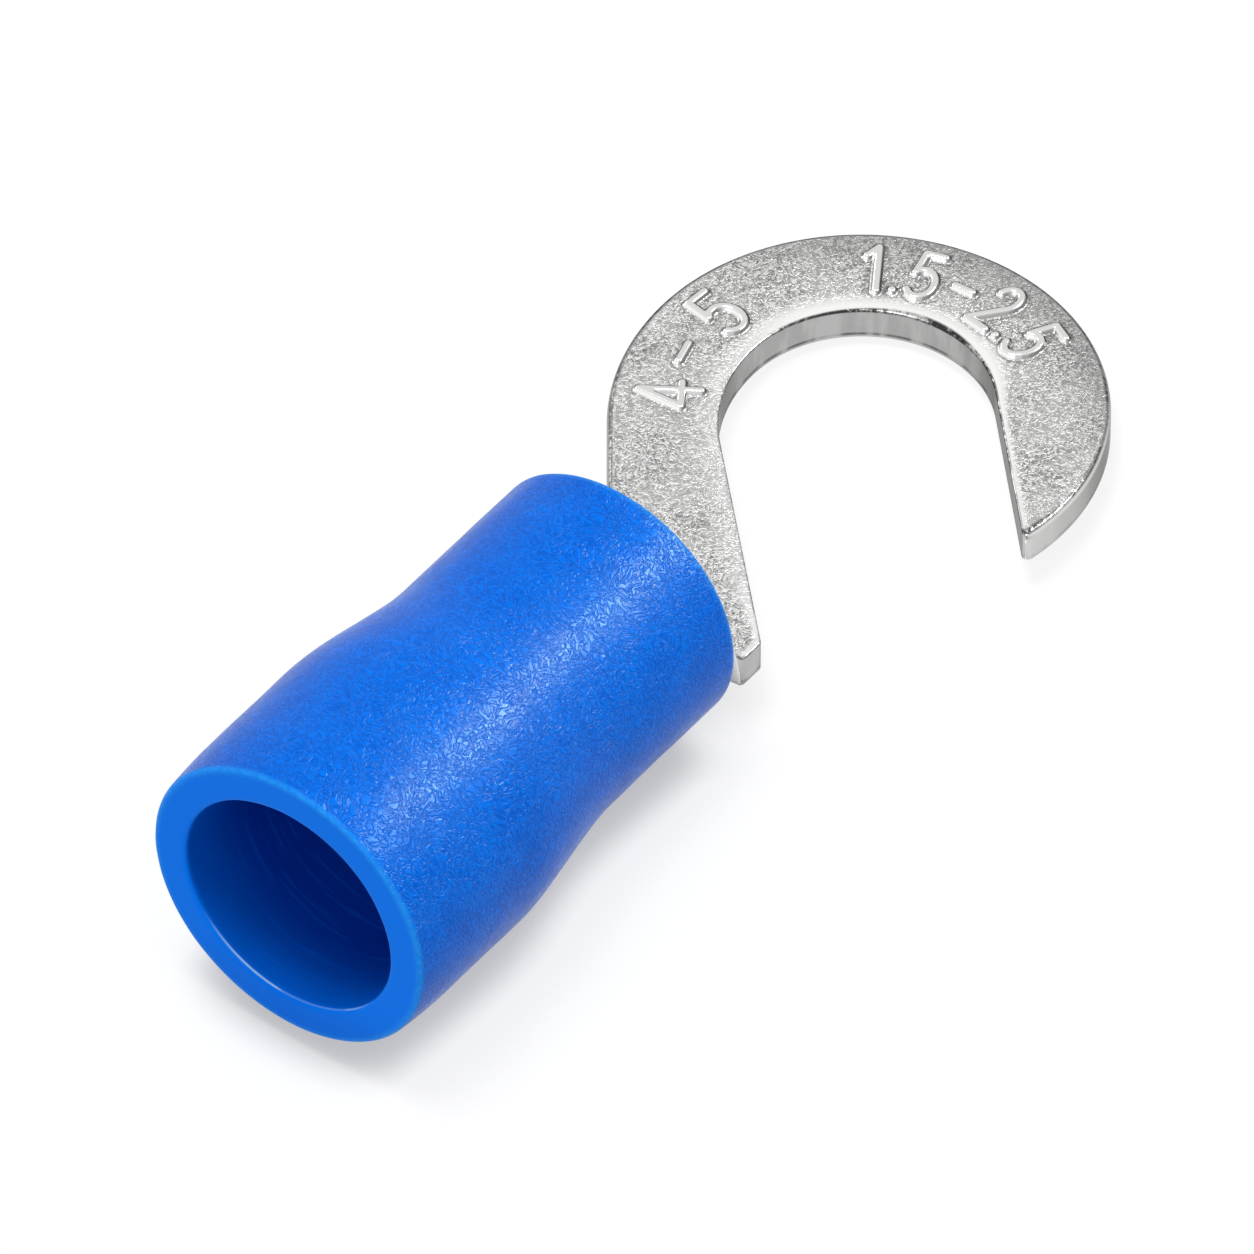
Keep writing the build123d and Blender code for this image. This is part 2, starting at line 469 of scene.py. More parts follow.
    def blank(self) -> tuple:
        """The whole blank before it is rolled.

        Returns:
            Positions (x, y, height) and the masks named in MASKS, each indexed by station and by
            column round the section.
        """
        left, right = self.rungs(*self.outline())
        levels = np.array(self.wall_levels)
        wall, none = np.ones(len(levels)), np.zeros(len(levels))
        places, masks = [], []
        for station, (a, b) in enumerate(zip(left, right)):
            width = float(np.linalg.norm(b - a))
            over = self.across(width, self.edge_roll, self.roll_columns, self.face_columns)
            top = a + over[:, None] * (b - a)
            below = self.across(width, self.edge_break, self.break_columns, self.under_columns)
            under = b + below[:, None] * (a - b)
            outer_gap = self.edge_distance(top, station, (left,))
            slot_gap = self.edge_distance(top, station, (right,))
            under_gap = self.edge_distance(under, station, (left, right))
            stroke = self.marks.centre_distance(top[:, 0], top[:, 1])
            bell = np.clip(1.0 - (top[:, 1] - self.barrel_back) / self.bell, 0.0, 1.0) * self.bell
            drop = np.maximum(fall_off(outer_gap, self.edge_roll), fall_off(slot_gap, self.slot_roll))
            raised = self.marks.raise_of(stroke)
            top_height = self.sheet - drop - bell + raised
            under_height = np.maximum(self.edge_break - under_gap, 0.0)
            down = top_height[-1] + levels * (under_height[0] - top_height[-1])
            rise = under_height[-1] + levels * (top_height[0] - under_height[-1])
            places.append(np.vstack((
                np.column_stack((top, top_height)), np.column_stack((wall[:, None] * b, down)),
                np.column_stack((under, under_height)), np.column_stack((wall[:, None] * a, rise)),
            )))
            plain, bands = np.zeros(len(under)), self.bands
            rows = (
                (bands.flat_face(outer_gap, slot_gap), none, ease(under_gap, *self.under_flat), none),
                (bands.over_edge(outer_gap, slot_gap), wall,
                 1.0 - ease(under_gap, *bands.outer_lap), wall),
                (np.zeros(len(top)), levels, plain + 1.0, 1.0 - levels),
                (bands.slot_light_and_shade(b, slot_gap), wall * bands.slot_wall_shade_strength(b), plain, none),
                (bands.edge_shade_line(a, b, outer_gap, slot_gap), none, plain, none),
                (bands.outer_shade(b, slot_gap), none, plain, none),
                (self.marks.foot_shade_of(stroke), none, plain, none),
                (raised / self.marks.height, none, plain, none),
            )
            masks.append(np.column_stack([np.concatenate(row) for row in rows]))
        return np.array(places), np.array(masks)

    def roll_up(self, point: Vector) -> Vector:
        """Where a point of the flat blank goes when the barrel is rolled.

        Args:
            point: (x, y, height) in the flat blank.

        Returns:
            The point on the finished body.
        """
        share = (point.y - self.barrel_front) / (self.curl_front - self.barrel_front)
        share = min(max(share, 0.0), 1.0)
        bend = (1.0 - share**self.bend_start) ** self.bend_power / self.barrel_middle
        if bend < 1e-4:
            return point
        outside = 1.0 / bend + self.sheet / 2
        turn = point.x * bend
        arm = outside - point.z
        return Vector((arm * math.sin(turn), point.y, outside - arm * math.cos(turn)))

    def build(self) -> Object:
        """Makes the body's mesh and object."""
        places, masks = self.blank()
        stations, columns = places.shape[:2]
        bm = bmesh.new()
        bmesh.ops.create_grid(bm, x_segments=columns, y_segments=stations - 1, size=1.0)
        layers = [bm.verts.layers.float.new(name) for name in self.MASKS]
        for vert in bm.verts:
            column = round((vert.co.x + 1.0) / 2.0 * columns) % columns
            station = round((vert.co.y + 1.0) / 2.0 * (stations - 1))
            vert.co = Vector(places[station, column])
            for layer, value in zip(layers, masks[station, column]):
                vert[layer] = float(value)
        bmesh.ops.remove_doubles(bm, verts=bm.verts, dist=1e-5)
        open_edges = [edge for edge in bm.edges if edge.is_boundary]
        cap = bmesh.ops.holes_fill(bm, edges=open_edges, sides=0)["faces"]
        bmesh.ops.triangulate(bm, faces=cap)
        bmesh.ops.recalc_face_normals(bm, faces=bm.faces)
        for vert in bm.verts:
            vert.co = self.roll_up(vert.co) * MM
        for face in bm.faces:
            face.smooth = True
        return finished_piece("stamped_body", bm, "hook_terminal_body", MaterialSlot.TIN)


@dataclass
class InsulatingSleeve:
    """Moulded sleeve, spun about its axis from one closed profile."""

    back: float = RIM_PLANE
    front: float = -7.94
    axis_height: float = AXIS_HEIGHT
    entry_radius: float = 3.25
    rim_radius: float = 3.17
    bore_radius: float = 2.42
    grip_radius: float = 2.84
    crown: float = 1.5
    entry_depth: float = 3.6
    taper: float = 3.4
    seat_depth: float = 5.6
    funnel: float = 0.5
    seat_radius: float = 1.45
    barrel_radius: float = 1.9
    front_round: float = 0.12
    rim_round: float = 0.08
    steps: int = 216
    crown_pieces: int = 12
    wall_pieces: int = 10
    taper_pieces: int = 24
    grip_pieces: int = 18
    inside_pieces: tuple = (14, 2, 4, 18)
    unevenness: float = 0.012
    sway_scales: tuple = (0.7, 1.9)
    sway_level: float = 0.75

    def outside(self) -> list:
        """Outer line of the profile, as (radius, distance from the rim)."""
        points = []
        rise = self.entry_radius - self.rim_radius
        bulge = (self.crown**2 + rise**2) / (2 * rise)
        for share in [0.0] + shares(self.crown_pieces):
            dip = bulge - math.sqrt(bulge**2 - (self.crown * (1.0 - share)) ** 2)
            points.append((self.entry_radius - dip, self.crown * share))
        wall = self.entry_depth - self.crown
        points += [(self.entry_radius, self.crown + wall * share) for share in shares(self.wall_pieces)]
        for share in shares(self.taper_pieces):
            narrowed = (self.grip_radius - self.entry_radius) * share * share * (3 - 2 * share)
            points.append((self.entry_radius + narrowed, self.entry_depth + self.taper * share))
        start = self.entry_depth + self.taper
        grip = self.front - self.back - start
        points += [(self.grip_radius, start + grip * share) for share in shares(self.grip_pieces)]
        return points

    def inside(self) -> list:
        """Inner line of the profile from the front face back to the rim."""
        end = self.front - self.back
        corners = [
            (self.barrel_radius, end), (self.barrel_radius, self.seat_depth),
            (self.seat_radius, self.seat_depth), (self.bore_radius, self.seat_depth - self.funnel),
            (self.bore_radius, 0.0),
        ]
        points = [corners[0]]
        for (r0, d0), (r1, d1), count in zip(corners, corners[1:], self.inside_pieces):
            points += [(r0 + (r1 - r0) * share, d0 + (d1 - d0) * share) for share in shares(count)]
        points.insert(-1, (self.bore_radius, 2.0 * self.rim_round))
        return points

    def build(self) -> Object:
        """Makes the sleeve's mesh and object."""
        outside, inside = self.outside(), self.inside()
        inset = 2.0 * self.rim_round
        rim = [(self.bore_radius + inset, 0.0), (self.rim_radius - inset, 0.0)]
        axis = Vector((0.0, 0.0, self.axis_height))
        bm = bmesh.new()
        skin, bore, outer_lip, bore_lip, rounding = (
            bm.verts.layers.float.new(name)
            for name in ("outer_skin", "inside_bore", "outer_lip", "bore_lip", "rounding")
        )
        ring = []
        for radius, depth in outside + inside + rim:
            vert = bm.verts.new((radius, self.back + depth, self.axis_height))
            vert[skin] = float((radius, depth) in outside[1:])
            vert[bore] = float((radius, depth) in inside[:-1])
            ring.append(vert)
        rim_corner, front_corner = ring[0], ring[len(outside) - 1]
        bore_corner = ring[len(outside + inside) - 1]
        rim_corner[rounding] = bore_corner[rounding] = self.rim_round
        front_corner[rounding] = self.front_round
        rim_corner[outer_lip] = front_corner[outer_lip] = bore_corner[bore_lip] = 1.0
        loop = [bm.edges.new((a, b)) for a, b in zip(ring, ring[1:] + ring[:1])]
        bmesh.ops.spin(bm, geom=ring + loop, cent=axis, axis=(0.0, 1.0, 0.0), angle=math.tau,
                       steps=self.steps, use_merge=True)
        bmesh.ops.remove_doubles(bm, verts=bm.verts, dist=1e-5)
        bmesh.ops.recalc_face_normals(bm, faces=bm.faces)
        for width in (self.rim_round, self.front_round):
            edges = [
                edge for edge in bm.edges
                if all(abs(vert[rounding] - width) < 1e-6 for vert in edge.verts)
                and abs(edge.verts[0].co.y - edge.verts[1].co.y) < 1e-6
            ]
            bmesh.ops.bevel(bm, geom=edges, offset=width, offset_type="OFFSET", affect="EDGES",
                            segments=4, profile=0.5, material=-1, clamp_overlap=True)
        for vert in bm.verts:
            spoke = vert.co - axis
            spoke.y = 0.0
            if spoke.length > self.bore_radius - 0.01:
                broad, small = (noise.noise(vert.co * scale) for scale in self.sway_scales)
                sway = max(0.0, self.sway_level + broad + 0.5 * small)
                vert.co -= spoke.normalized() * self.unevenness * sway
            vert.co *= MM
        for face in bm.faces:
            face.smooth = True
        return finished_piece("sleeve", bm, "insulating_sleeve", MaterialSlot.PVC)


def placed(name: str, data: ID) -> Object:
    """Adds an object for a mesh, lamp or camera to the scene."""
    made = bpy.data.objects.new(name, data)
    bpy.context.scene.collection.objects.link(made)
    return made


def meshed(name: str, bm: bmesh.types.BMesh) -> Object:
    """Turns a bmesh into an object of the scene, and frees it."""
    mesh = bpy.data.meshes.new(name)
    bm.to_mesh(mesh)
    bm.free()
    return placed(name, mesh)


def finished_piece(name: str, bm: bmesh.types.BMesh, node: str, slot: MaterialSlot) -> Object:
    """Turns a bmesh into a piece that stands for a CAD node.

    Args:
        name: Name of the piece.
        bm: Its shape, in metres; freed here.
        node: The CAD node it stands for.
        slot: The material slot its finish comes from; not used.

    Returns:
        The new object, at the origin and riding on the part's one body.
    """
    piece = meshed(name, bm)
    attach(piece, "root")
    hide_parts(node)
    log.info("%s: %d faces", name, len(piece.data.polygons))
    return piece


@dataclass
class NodeSheet:
    """Small helper that adds and links the nodes of one tree."""

    tree: NodeTree

    def add(self, kind: str, settings: dict | None = None, **inputs: object) -> Node:
        """Adds a node.

        Args:
            kind: Type of the node.
            settings: Properties of the node, by name.
            **inputs: Input values or sockets by name, with _ for a space, or i0, i1 by number.

        Returns:
            The new node.
        """
        node = self.tree.nodes.new(kind)
        for name, value in (settings or {}).items():
            setattr(node, name, value)
        for name, value in inputs.items():
            numbered = name[0] == "i" and name[1:].isdigit()
            socket = node.inputs[int(name[1:])] if numbered else node.inputs[name.replace("_", " ")]
            if isinstance(value, NodeSocket):
                self.tree.links.new(value, socket)
            else:
                socket.default_value = value
        return node

    def math(
        self, operation: str, first: object, second: object = 0.0, third: object = 0.0
    ) -> NodeSocket:
        """Output of a Math node."""
        node = self.add("ShaderNodeMath", {"operation": operation}, i0=first, i1=second, i2=third)
        return node.outputs[0]

    def times(self, first: object, second: object) -> NodeSocket:
        """Product of two values."""
        return self.math("MULTIPLY", first, second)

    def ramp(
        self, value: object, low: object, high: object, bottom: object = 0.0, top: object = 1.0
    ) -> NodeSocket:
        """Value mapped smoothly from low..high to bottom..top."""
        node = self.add("ShaderNodeMapRange", {"interpolation_type": "SMOOTHSTEP"}, Value=value,
                        From_Min=low, From_Max=high, To_Min=bottom, To_Max=top)
        return node.outputs[0]

    def mix(self, factor: object, first: object, second: object) -> NodeSocket:
        """Mix of two colours."""
        node = self.add("ShaderNodeMix", {"data_type": "RGBA"}, i0=factor, i6=first, i7=second)
        return node.outputs[2]

    def attribute(self, name: str) -> NodeSocket:
        """Value of a mesh attribute."""
        return self.add("ShaderNodeAttribute", {"attribute_name": name}).outputs["Fac"]

    def scaled(self, place: NodeSocket, *scale: float) -> NodeSocket:
        """Coordinates scaled along each axis."""
        return self.add("ShaderNodeMapping", Vector=place, Scale=scale).outputs[0]

    def millimetres(self) -> NodeSocket:
        """Object coordinates in millimetres."""
        return self.scaled(self.add("ShaderNodeTexCoord").outputs["Object"], 1000.0, 1000.0, 1000.0)

    def cloudy(self, place: NodeSocket, scale: object, detail: float, **more: float) -> Node:
        """Adds a 3D noise texture."""
        return self.add("ShaderNodeTexNoise", {"noise_dimensions": "3D"}, Vector=place, Scale=scale,
                        Detail=detail, **more)

    def group(self, tree: NodeTree, **inputs: object) -> Node:
        """Adds a node group that reads the place in millimetres."""
        return self.add("ShaderNodeGroup", {"node_tree": tree}, Place=self.millimetres(), **inputs)

    def seen(self) -> NodeSocket:
        """1 for rays that show a surface, straight, in gloss or through glass; 0 for its light."""
        path = self.add("ShaderNodeLightPath")
        seen = self.math("MAXIMUM", path.outputs["Is Camera Ray"], path.outputs["Is Glossy Ray"])
        return self.math("MAXIMUM", seen, path.outputs["Is Transmission Ray"])


def emptied(owner: ID) -> NodeSheet:
    """Sheet for the nodes of a new material or world, its first nodes cleared."""
    owner.use_nodes = True
    owner.node_tree.nodes.clear()
    return NodeSheet(owner.node_tree)


def new_group(name: str, inputs: dict, outputs: tuple) -> tuple:
    """Starts a shader node group.

    Args:
        name: Name of the group.
        inputs: Input names and their default values; None makes a vector.
        outputs: Names of the output values.

    Returns:
        The group, its NodeSheet and its input node.
    """
    group = bpy.data.node_groups.new(name, "ShaderNodeTree")
    for label, value in inputs.items():
        kind = "NodeSocketVector" if value is None else "NodeSocketFloat"
        socket = group.interface.new_socket(label, in_out="INPUT", socket_type=kind)
        if value is not None:
            socket.default_value = value
    for label in outputs:
        group.interface.new_socket(label, in_out="OUTPUT", socket_type="NodeSocketFloat")
    sheet = NodeSheet(group)
    return group, sheet, sheet.add("NodeGroupInput")


def wrinkled_grain() -> NodeTree:
    """Group for fine worm-like wrinkles, as on moulded skin and on matt plated sheet."""
    group, sheet, inside = new_group(
        "Wrinkled grain",
        {"Place": None, "Fine Scale": 8.0, "Drift": 1.0, "Fold": 0.1, "Crease": 0.03},
        ("Folds", "Creases", "Fine", "Patches"),
    )
    place = inside.outputs["Place"]
    broad = sheet.cloudy(place, 0.9, 2.0, Roughness=0.5)
    drift = sheet.add("ShaderNodeVectorMath", {"operation": "SCALE"}, i0=broad.outputs["Color"],
                      Scale=inside.outputs["Drift"]).outputs[0]
    moved = sheet.add("ShaderNodeVectorMath", {"operation": "ADD"}, i0=place, i1=drift).outputs[0]
    fine = sheet.cloudy(
        moved, inside.outputs["Fine Scale"], 1.6, Roughness=0.5, Distortion=0.7).outputs["Fac"]
    off_middle = sheet.math("ABSOLUTE", sheet.math("SUBTRACT", fine, 0.5))
    sheet.add("NodeGroupOutput", Folds=sheet.ramp(off_middle, 0.0, inside.outputs["Fold"]),
              Creases=sheet.ramp(off_middle, 0.0, inside.outputs["Crease"], 1.0, 0.0),
              Fine=fine, Patches=broad.outputs["Fac"])
    return group


def nick_and_glint_spots() -> NodeTree:
    """Group for sparse small spots: pits and short scratches on the tin, painted glints on the PVC."""
    group, sheet, inside = new_group(
        "Small nicks", {"Place": None, "Spacing": 1.0, "Reach": 0.1, "Kept": 0.4}, ("Mask",))
    spots = sheet.add("ShaderNodeTexVoronoi", {"feature": "F1"}, Vector=inside.outputs["Place"],
                      Scale=inside.outputs["Spacing"], Randomness=1.0)
    near = sheet.ramp(spots.outputs["Distance"], 0.0, inside.outputs["Reach"], 1.0, 0.0)
    pick = sheet.add("ShaderNodeSeparateColor", Color=spots.outputs["Color"]).outputs[0]
    kept = sheet.math("LESS_THAN", pick, inside.outputs["Kept"])
    sheet.add("NodeGroupOutput", Mask=sheet.times(near, kept))
    return group


def grey(value: float) -> tuple:
    """Neutral colour of one linear value."""
    return value, value, value * 0.99, 1.0


@dataclass(frozen=True)
class TinFinish:
    """Matt electro-tinned copper sheet: mottled face and greyer cut sides, with painted highlights on
    the rolled edges, round the slot and on the marks' lit flanks, and painted shade on the slot's wall,
    along the edges and round the marks.
    """

    grain: NodeTree
    nicks: NodeTree
    light: tuple = grey(0.7)
    middle: tuple = grey(0.44)
    crease: tuple = grey(0.13)
    # Painted highlight: colour of the rolled edges, the band round the slot and the marks' lit flanks.
    rolled: tuple = grey(0.93)
    flank_shade: tuple = grey(0.2)
    side: tuple = grey(0.6)
    slot_wall_shade: tuple = grey(0.38)
    # Dark colour of the shear-break line low on the cut walls, and of the painted shade lines along the
    # edges and round the marks.
    shear_line_and_shade: tuple = grey(0.04)
    steep_tint: tuple = grey(0.35)
    outer_shade: float = 0.45
    pit_strength: float = 0.8
    foot_shade_strength: float = 0.5
    rolled_roughness: float = 0.2
    face_roughness: float = 0.38
    grain_height: float = 0.000008  # metres

    def material(self) -> Material:
        """Makes the material."""
        made = bpy.data.materials.new("tinned_sheet")
        sheet = emptied(made)
        flat, wall, slot_light_and_shade, depth, foot_shade, raised = (sheet.attribute(name) for name in (
            "flat_face", "cut_wall", "slot_light_and_shade", "wall_depth", "mark_foot_shade", "mark_top"))
        mottle = sheet.group(self.grain, Fine_Scale=11.0, Drift=0.4, Fold=0.2, Crease=0.065)
        pits = sheet.group(self.nicks, Spacing=1.9, Reach=0.07, Kept=0.25)
        plain = sheet.ramp(raised, 0.0, 0.3, 1.0, 0.0)
        patches = mottle.outputs["Patches"]

        face = sheet.mix(mottle.outputs["Folds"], self.middle, self.light)
        creased = sheet.times(mottle.outputs["Creases"], sheet.ramp(patches, 0.38, 0.62, 0.25, 0.8))
        face = sheet.mix(creased, face, self.crease)
        shaded = sheet.times(sheet.attribute("outer_shade"), self.outer_shade)
        face = sheet.mix(shaded, face, self.crease)
        # Painted highlight: the face lightened in the band round the slot.
        face = sheet.mix(slot_light_and_shade, face, self.rolled)
        face = sheet.mix(sheet.times(pits.outputs["Mask"], self.pit_strength), face, self.crease)
        # Painted light and shade on the marks: flanks facing -X and -Y take the highlight colour, the
        # other flanks a dark grey and the tops the light face colour.
        facing = sheet.add("ShaderNodeNewGeometry").outputs["Normal"]
        lean = sheet.add(
            "ShaderNodeVectorMath", {"operation": "DOT_PRODUCT"}, i0=facing, i1=(-0.8, -0.5, 0.0))
        mark_light_and_shade = sheet.mix(sheet.ramp(lean.outputs["Value"], -0.55, 0.4), self.flank_shade, self.rolled)
        mark_light_and_shade = sheet.mix(sheet.ramp(raised, 0.6, 1.0), mark_light_and_shade, self.light)
        face = sheet.mix(plain, mark_light_and_shade, face)

        drawn = sheet.scaled(sheet.millimetres(), 1.0, 1.0, 0.25)
        streaks = sheet.cloudy(drawn, 2.2, 3.0, Roughness=0.6).outputs["Fac"]
        # Painted shade: the slot's wall darker than the other cut sides.
        side = sheet.mix(slot_light_and_shade, self.side, self.slot_wall_shade)
        side = sheet.mix(sheet.ramp(streaks, 0.4, 0.62, 0.0, 0.25), side, self.light)
        low_line = sheet.times(sheet.ramp(depth, 0.8, 0.88), sheet.ramp(depth, 0.88, 0.97, 1.0, 0.0))
        broken = sheet.ramp(streaks, 0.4, 0.62, 0.8, 0.15)
        broken = sheet.times(broken, sheet.ramp(slot_light_and_shade, 0.0, 1.0, 0.35, 1.0))
        side = sheet.mix(sheet.times(low_line, broken), side, self.shear_line_and_shade)

        # Painted highlight on the rolled edges round the flat face; the cut walls take their side
        # colour.
        colour = sheet.mix(wall, sheet.mix(flat, self.rolled, face), side)
        # Painted shade: thin dark lines along the edges, broken up by the grain.
        line_breakup = sheet.ramp(sheet.math("ADD", mottle.outputs["Fine"], patches), 0.9, 1.2, 1.0, 0.4)
        line_breakup = sheet.math("MAXIMUM", line_breakup, sheet.ramp(slot_light_and_shade, 0.0, 0.3, 0.8, 0.0))
        colour = sheet.mix(sheet.times(sheet.attribute("edge_shade_line"), line_breakup), colour, self.shear_line_and_shade)
        # Painted shade round the base of the marks' strokes.
        colour = sheet.mix(sheet.times(foot_shade, self.foot_shade_strength), colour, self.shear_line_and_shade)
        grained = sheet.times(sheet.times(flat, plain), sheet.ramp(slot_light_and_shade, 0.3, 1.0, 1.0, 0.2))
        rough = sheet.ramp(grained, 0.0, 1.0, self.rolled_roughness, self.face_roughness)
        bump = sheet.add("ShaderNodeBump", Strength=1.0, Distance=self.grain_height,
                         Height=sheet.times(mottle.outputs["Folds"], grained))
        shader = sheet.add("ShaderNodeBsdfPrincipled", Base_Color=colour, Metallic=1.0, Roughness=rough,
                           Specular_Tint=self.steep_tint, Normal=bump.outputs[0])
        sheet.add("ShaderNodeOutputMaterial", Surface=shader.outputs[0])
        return made


@dataclass(frozen=True)
class PvcFinish:
    """Blue moulded PVC with a soft sheen, a wrinkled skin outside, a smooth rim and a deep bore;
    painted shade in the wrinkles, at the rim's bottom and deep in the bore, and painted highlights on
    the rim's outer edge, the bore's lower edge and its score rings, with painted glints in small spots.
    """

    grain: NodeTree
    nicks: NodeTree
    skin: tuple = (0.001, 0.195, 0.92, 1.0)
    # Dark blue: low end of the skin's shading, partly random patches and partly painted shade in the
    # wrinkles' valleys, and painted shade at the rim's bottom.
    deep: tuple = (0.0004, 0.085, 0.56, 1.0)
    # Painted shade in the wrinkles' creases.
    crease: tuple = (0.0003, 0.05, 0.38, 1.0)
    rim: tuple = (0.0008, 0.205, 1.0, 1.0)
    # Painted highlight colour of the rim's outer edge, also used for the painted glints in small spots.
    lip_highlight: tuple = (0.03, 0.36, 1.0, 1.0)
    # Painted shade: the bore's colour deep inside, darkened.
    inside: tuple = (0.0004, 0.05, 0.46, 1.0)
    # Lighter colour of the bore's score rings: a painted highlight.
    ring: tuple = (0.003, 0.15, 0.8, 1.0)
    # Painted highlight colour of the bore's lower edge.
    bore_edge_highlight_blue: tuple = (0.45, 0.72, 0.97, 1.0)
    sheen: tuple = (0.62, 0.95, 0.65, 1.0)
    fold_relief_shade: float = 0.4
    crease_shade_strength: float = 0.22
    speck_glint_strength: float = 0.4
    ring_height: float = 0.5
    rim_roughness: float = 0.34
    skin_roughness: float = 0.22
    gloss: float = 0.05
    wrinkle_height: float = 0.0000092  # metres

    def material(self) -> Material:
        """Makes the material."""
        made = bpy.data.materials.new("moulded_pvc")
        sheet = emptied(made)
        place = sheet.millimetres()
        skin, bore = sheet.attribute("outer_skin"), sheet.attribute("inside_bore")
        parts = sheet.add("ShaderNodeSeparateXYZ", Vector=place)
        above_axis = sheet.math("SUBTRACT", parts.outputs[2], AXIS_HEIGHT)
        inwards = sheet.math("SUBTRACT", parts.outputs[1], RIM_PLANE)
        wrinkle = sheet.group(self.grain, Fine_Scale=9.5, Drift=0.8, Fold=0.13, Crease=0.05)
        speck_glints = sheet.group(self.nicks, Spacing=3.2, Reach=0.09, Kept=0.22)
        folds, patches = wrinkle.outputs["Folds"], wrinkle.outputs["Patches"]

        # Painted shade: the skin darker in the wrinkles' valleys and lighter on their crests, over
        # random patches.
        relief_shade_and_tone = sheet.times(folds, self.fold_relief_shade)
        relief_shade_and_tone = sheet.math("ADD", relief_shade_and_tone, sheet.ramp(patches, 0.35, 0.65, 0.28, 0.42))
        colour = sheet.mix(relief_shade_and_tone, self.deep, self.skin)
        # Painted shade along the wrinkles' creases.
        creased = sheet.times(wrinkle.outputs["Creases"], self.crease_shade_strength)
        colour = sheet.mix(creased, colour, self.crease)
        # Painted glints: small light spots.
        colour = sheet.mix(sheet.times(speck_glints.outputs["Mask"], self.speck_glint_strength), colour, self.lip_highlight)
        # Painted shade: the rim darker towards its bottom.
        rim_underside_shade = sheet.ramp(above_axis, -3.2, -1.4, 0.35, 0.0)
        colour = sheet.mix(skin, sheet.mix(rim_underside_shade, self.rim, self.deep), colour)

        rings = sheet.cloudy(
            sheet.scaled(place, 0.5, 10.0, 0.5), 1.0, 2.0, Roughness=0.6).outputs["Fac"]
        # Painted highlight on the bore's score rings, stronger low in the bore.
        ring_highlight = sheet.times(
            sheet.ramp(rings, 0.57, 0.63), sheet.ramp(above_axis, -2.2, 0.6, 0.32, 0.08))
        # Painted light and shade in the bore: lighter near the opening, darker deep inside.
        entrance_light = sheet.ramp(inwards, 0.1, 2.2, 0.6, 0.0)
        bore_light_and_shade = sheet.mix(entrance_light, self.inside, self.skin)
        colour = sheet.mix(bore, colour, sheet.mix(ring_highlight, bore_light_and_shade, self.ring))

        # Painted highlight along the rim's outer edge, broken up by the grain.
        broken = sheet.ramp(wrinkle.outputs["Fine"], 0.4, 0.6)
        lip_highlight = sheet.times(sheet.attribute("outer_lip"), sheet.math("MULTIPLY_ADD", broken, 0.4, 0.5))
        colour = sheet.mix(lip_highlight, colour, self.lip_highlight)
        # Painted highlight along the bore's lower edge, broken up by the patches.
        bore_edge_highlight = sheet.times(sheet.attribute("bore_lip"), sheet.ramp(patches, 0.38, 0.52, 0.25, 1.0))
        for fade in (
            sheet.ramp(above_axis, -2.2, -1.2, 1.0, 0.0),
            sheet.ramp(inwards, 0.025, 0.04),
            sheet.ramp(inwards, 0.06, 0.08, 1.0, 0.0),
        ):
            bore_edge_highlight = sheet.times(bore_edge_highlight, fade)
        colour = sheet.mix(bore_edge_highlight, colour, self.bore_edge_highlight_blue)

        ringed = sheet.times(sheet.times(rings, bore), self.ring_height)
        height = sheet.math("MULTIPLY_ADD", folds, sheet.ramp(skin, 0.0, 1.0, 0.04, 1.0), ringed)
        bump = sheet.add(
            "ShaderNodeBump", Strength=1.0, Distance=self.wrinkle_height, Height=height)
        rough = sheet.ramp(skin, 0.0, 1.0, self.rim_roughness, self.skin_roughness)
        shader = sheet.add(
            "ShaderNodeBsdfPrincipled", Base_Color=colour, Roughness=rough, IOR=1.5,
            Specular_IOR_Level=self.gloss, Specular_Tint=self.sheen, Normal=bump.outputs[0])
        sheet.add("ShaderNodeOutputMaterial", Surface=shader.outputs[0])
        return made


def aim(thing: Object, target: tuple, azimuth: float, elevation: float, distance: float) -> None:
    """Stands a lamp or camera off a target, facing it.

    Args:
        thing: The lamp or camera.
        target: The point that it faces.
        azimuth: Degrees round the target, from the wire end towards +X.
        elevation: Degrees above the target.
        distance: How far off it stands.
    """
    a, e = math.radians(azimuth), math.radians(elevation)
    back = Vector((math.sin(a) * math.cos(e), -math.cos(a) * math.cos(e), math.sin(e)))
    thing.location = (Vector(target) + back * distance) * MM
    thing.rotation_euler = back.to_track_quat("Z", "Y").to_euler()


@dataclass(frozen=True)
class SoftLamp:
    """Rectangular soft box aimed at the part; radiance 1 would show as white."""

    name: str
    azimuth: float
    elevation: float
    distance: float
    width: float
    height: float
    radiance: float
    only_shines: bool = False

    def light(self, target: tuple) -> Object:
        """Adds the lamp; one that only shines is seen in gloss and lights nothing."""
        data = bpy.data.lights.new(self.name, "AREA")
        data.shape = "RECTANGLE"
        data.size, data.size_y = self.width * MM, self.height * MM
        data.energy = math.pi * data.size * data.size_y * self.radiance
        lamp = placed(self.name, data)
        aim(lamp, target, self.azimuth, self.elevation, self.distance)
        lamp.visible_camera = False
        lamp.visible_diffuse = not self.only_shines
        return lamp


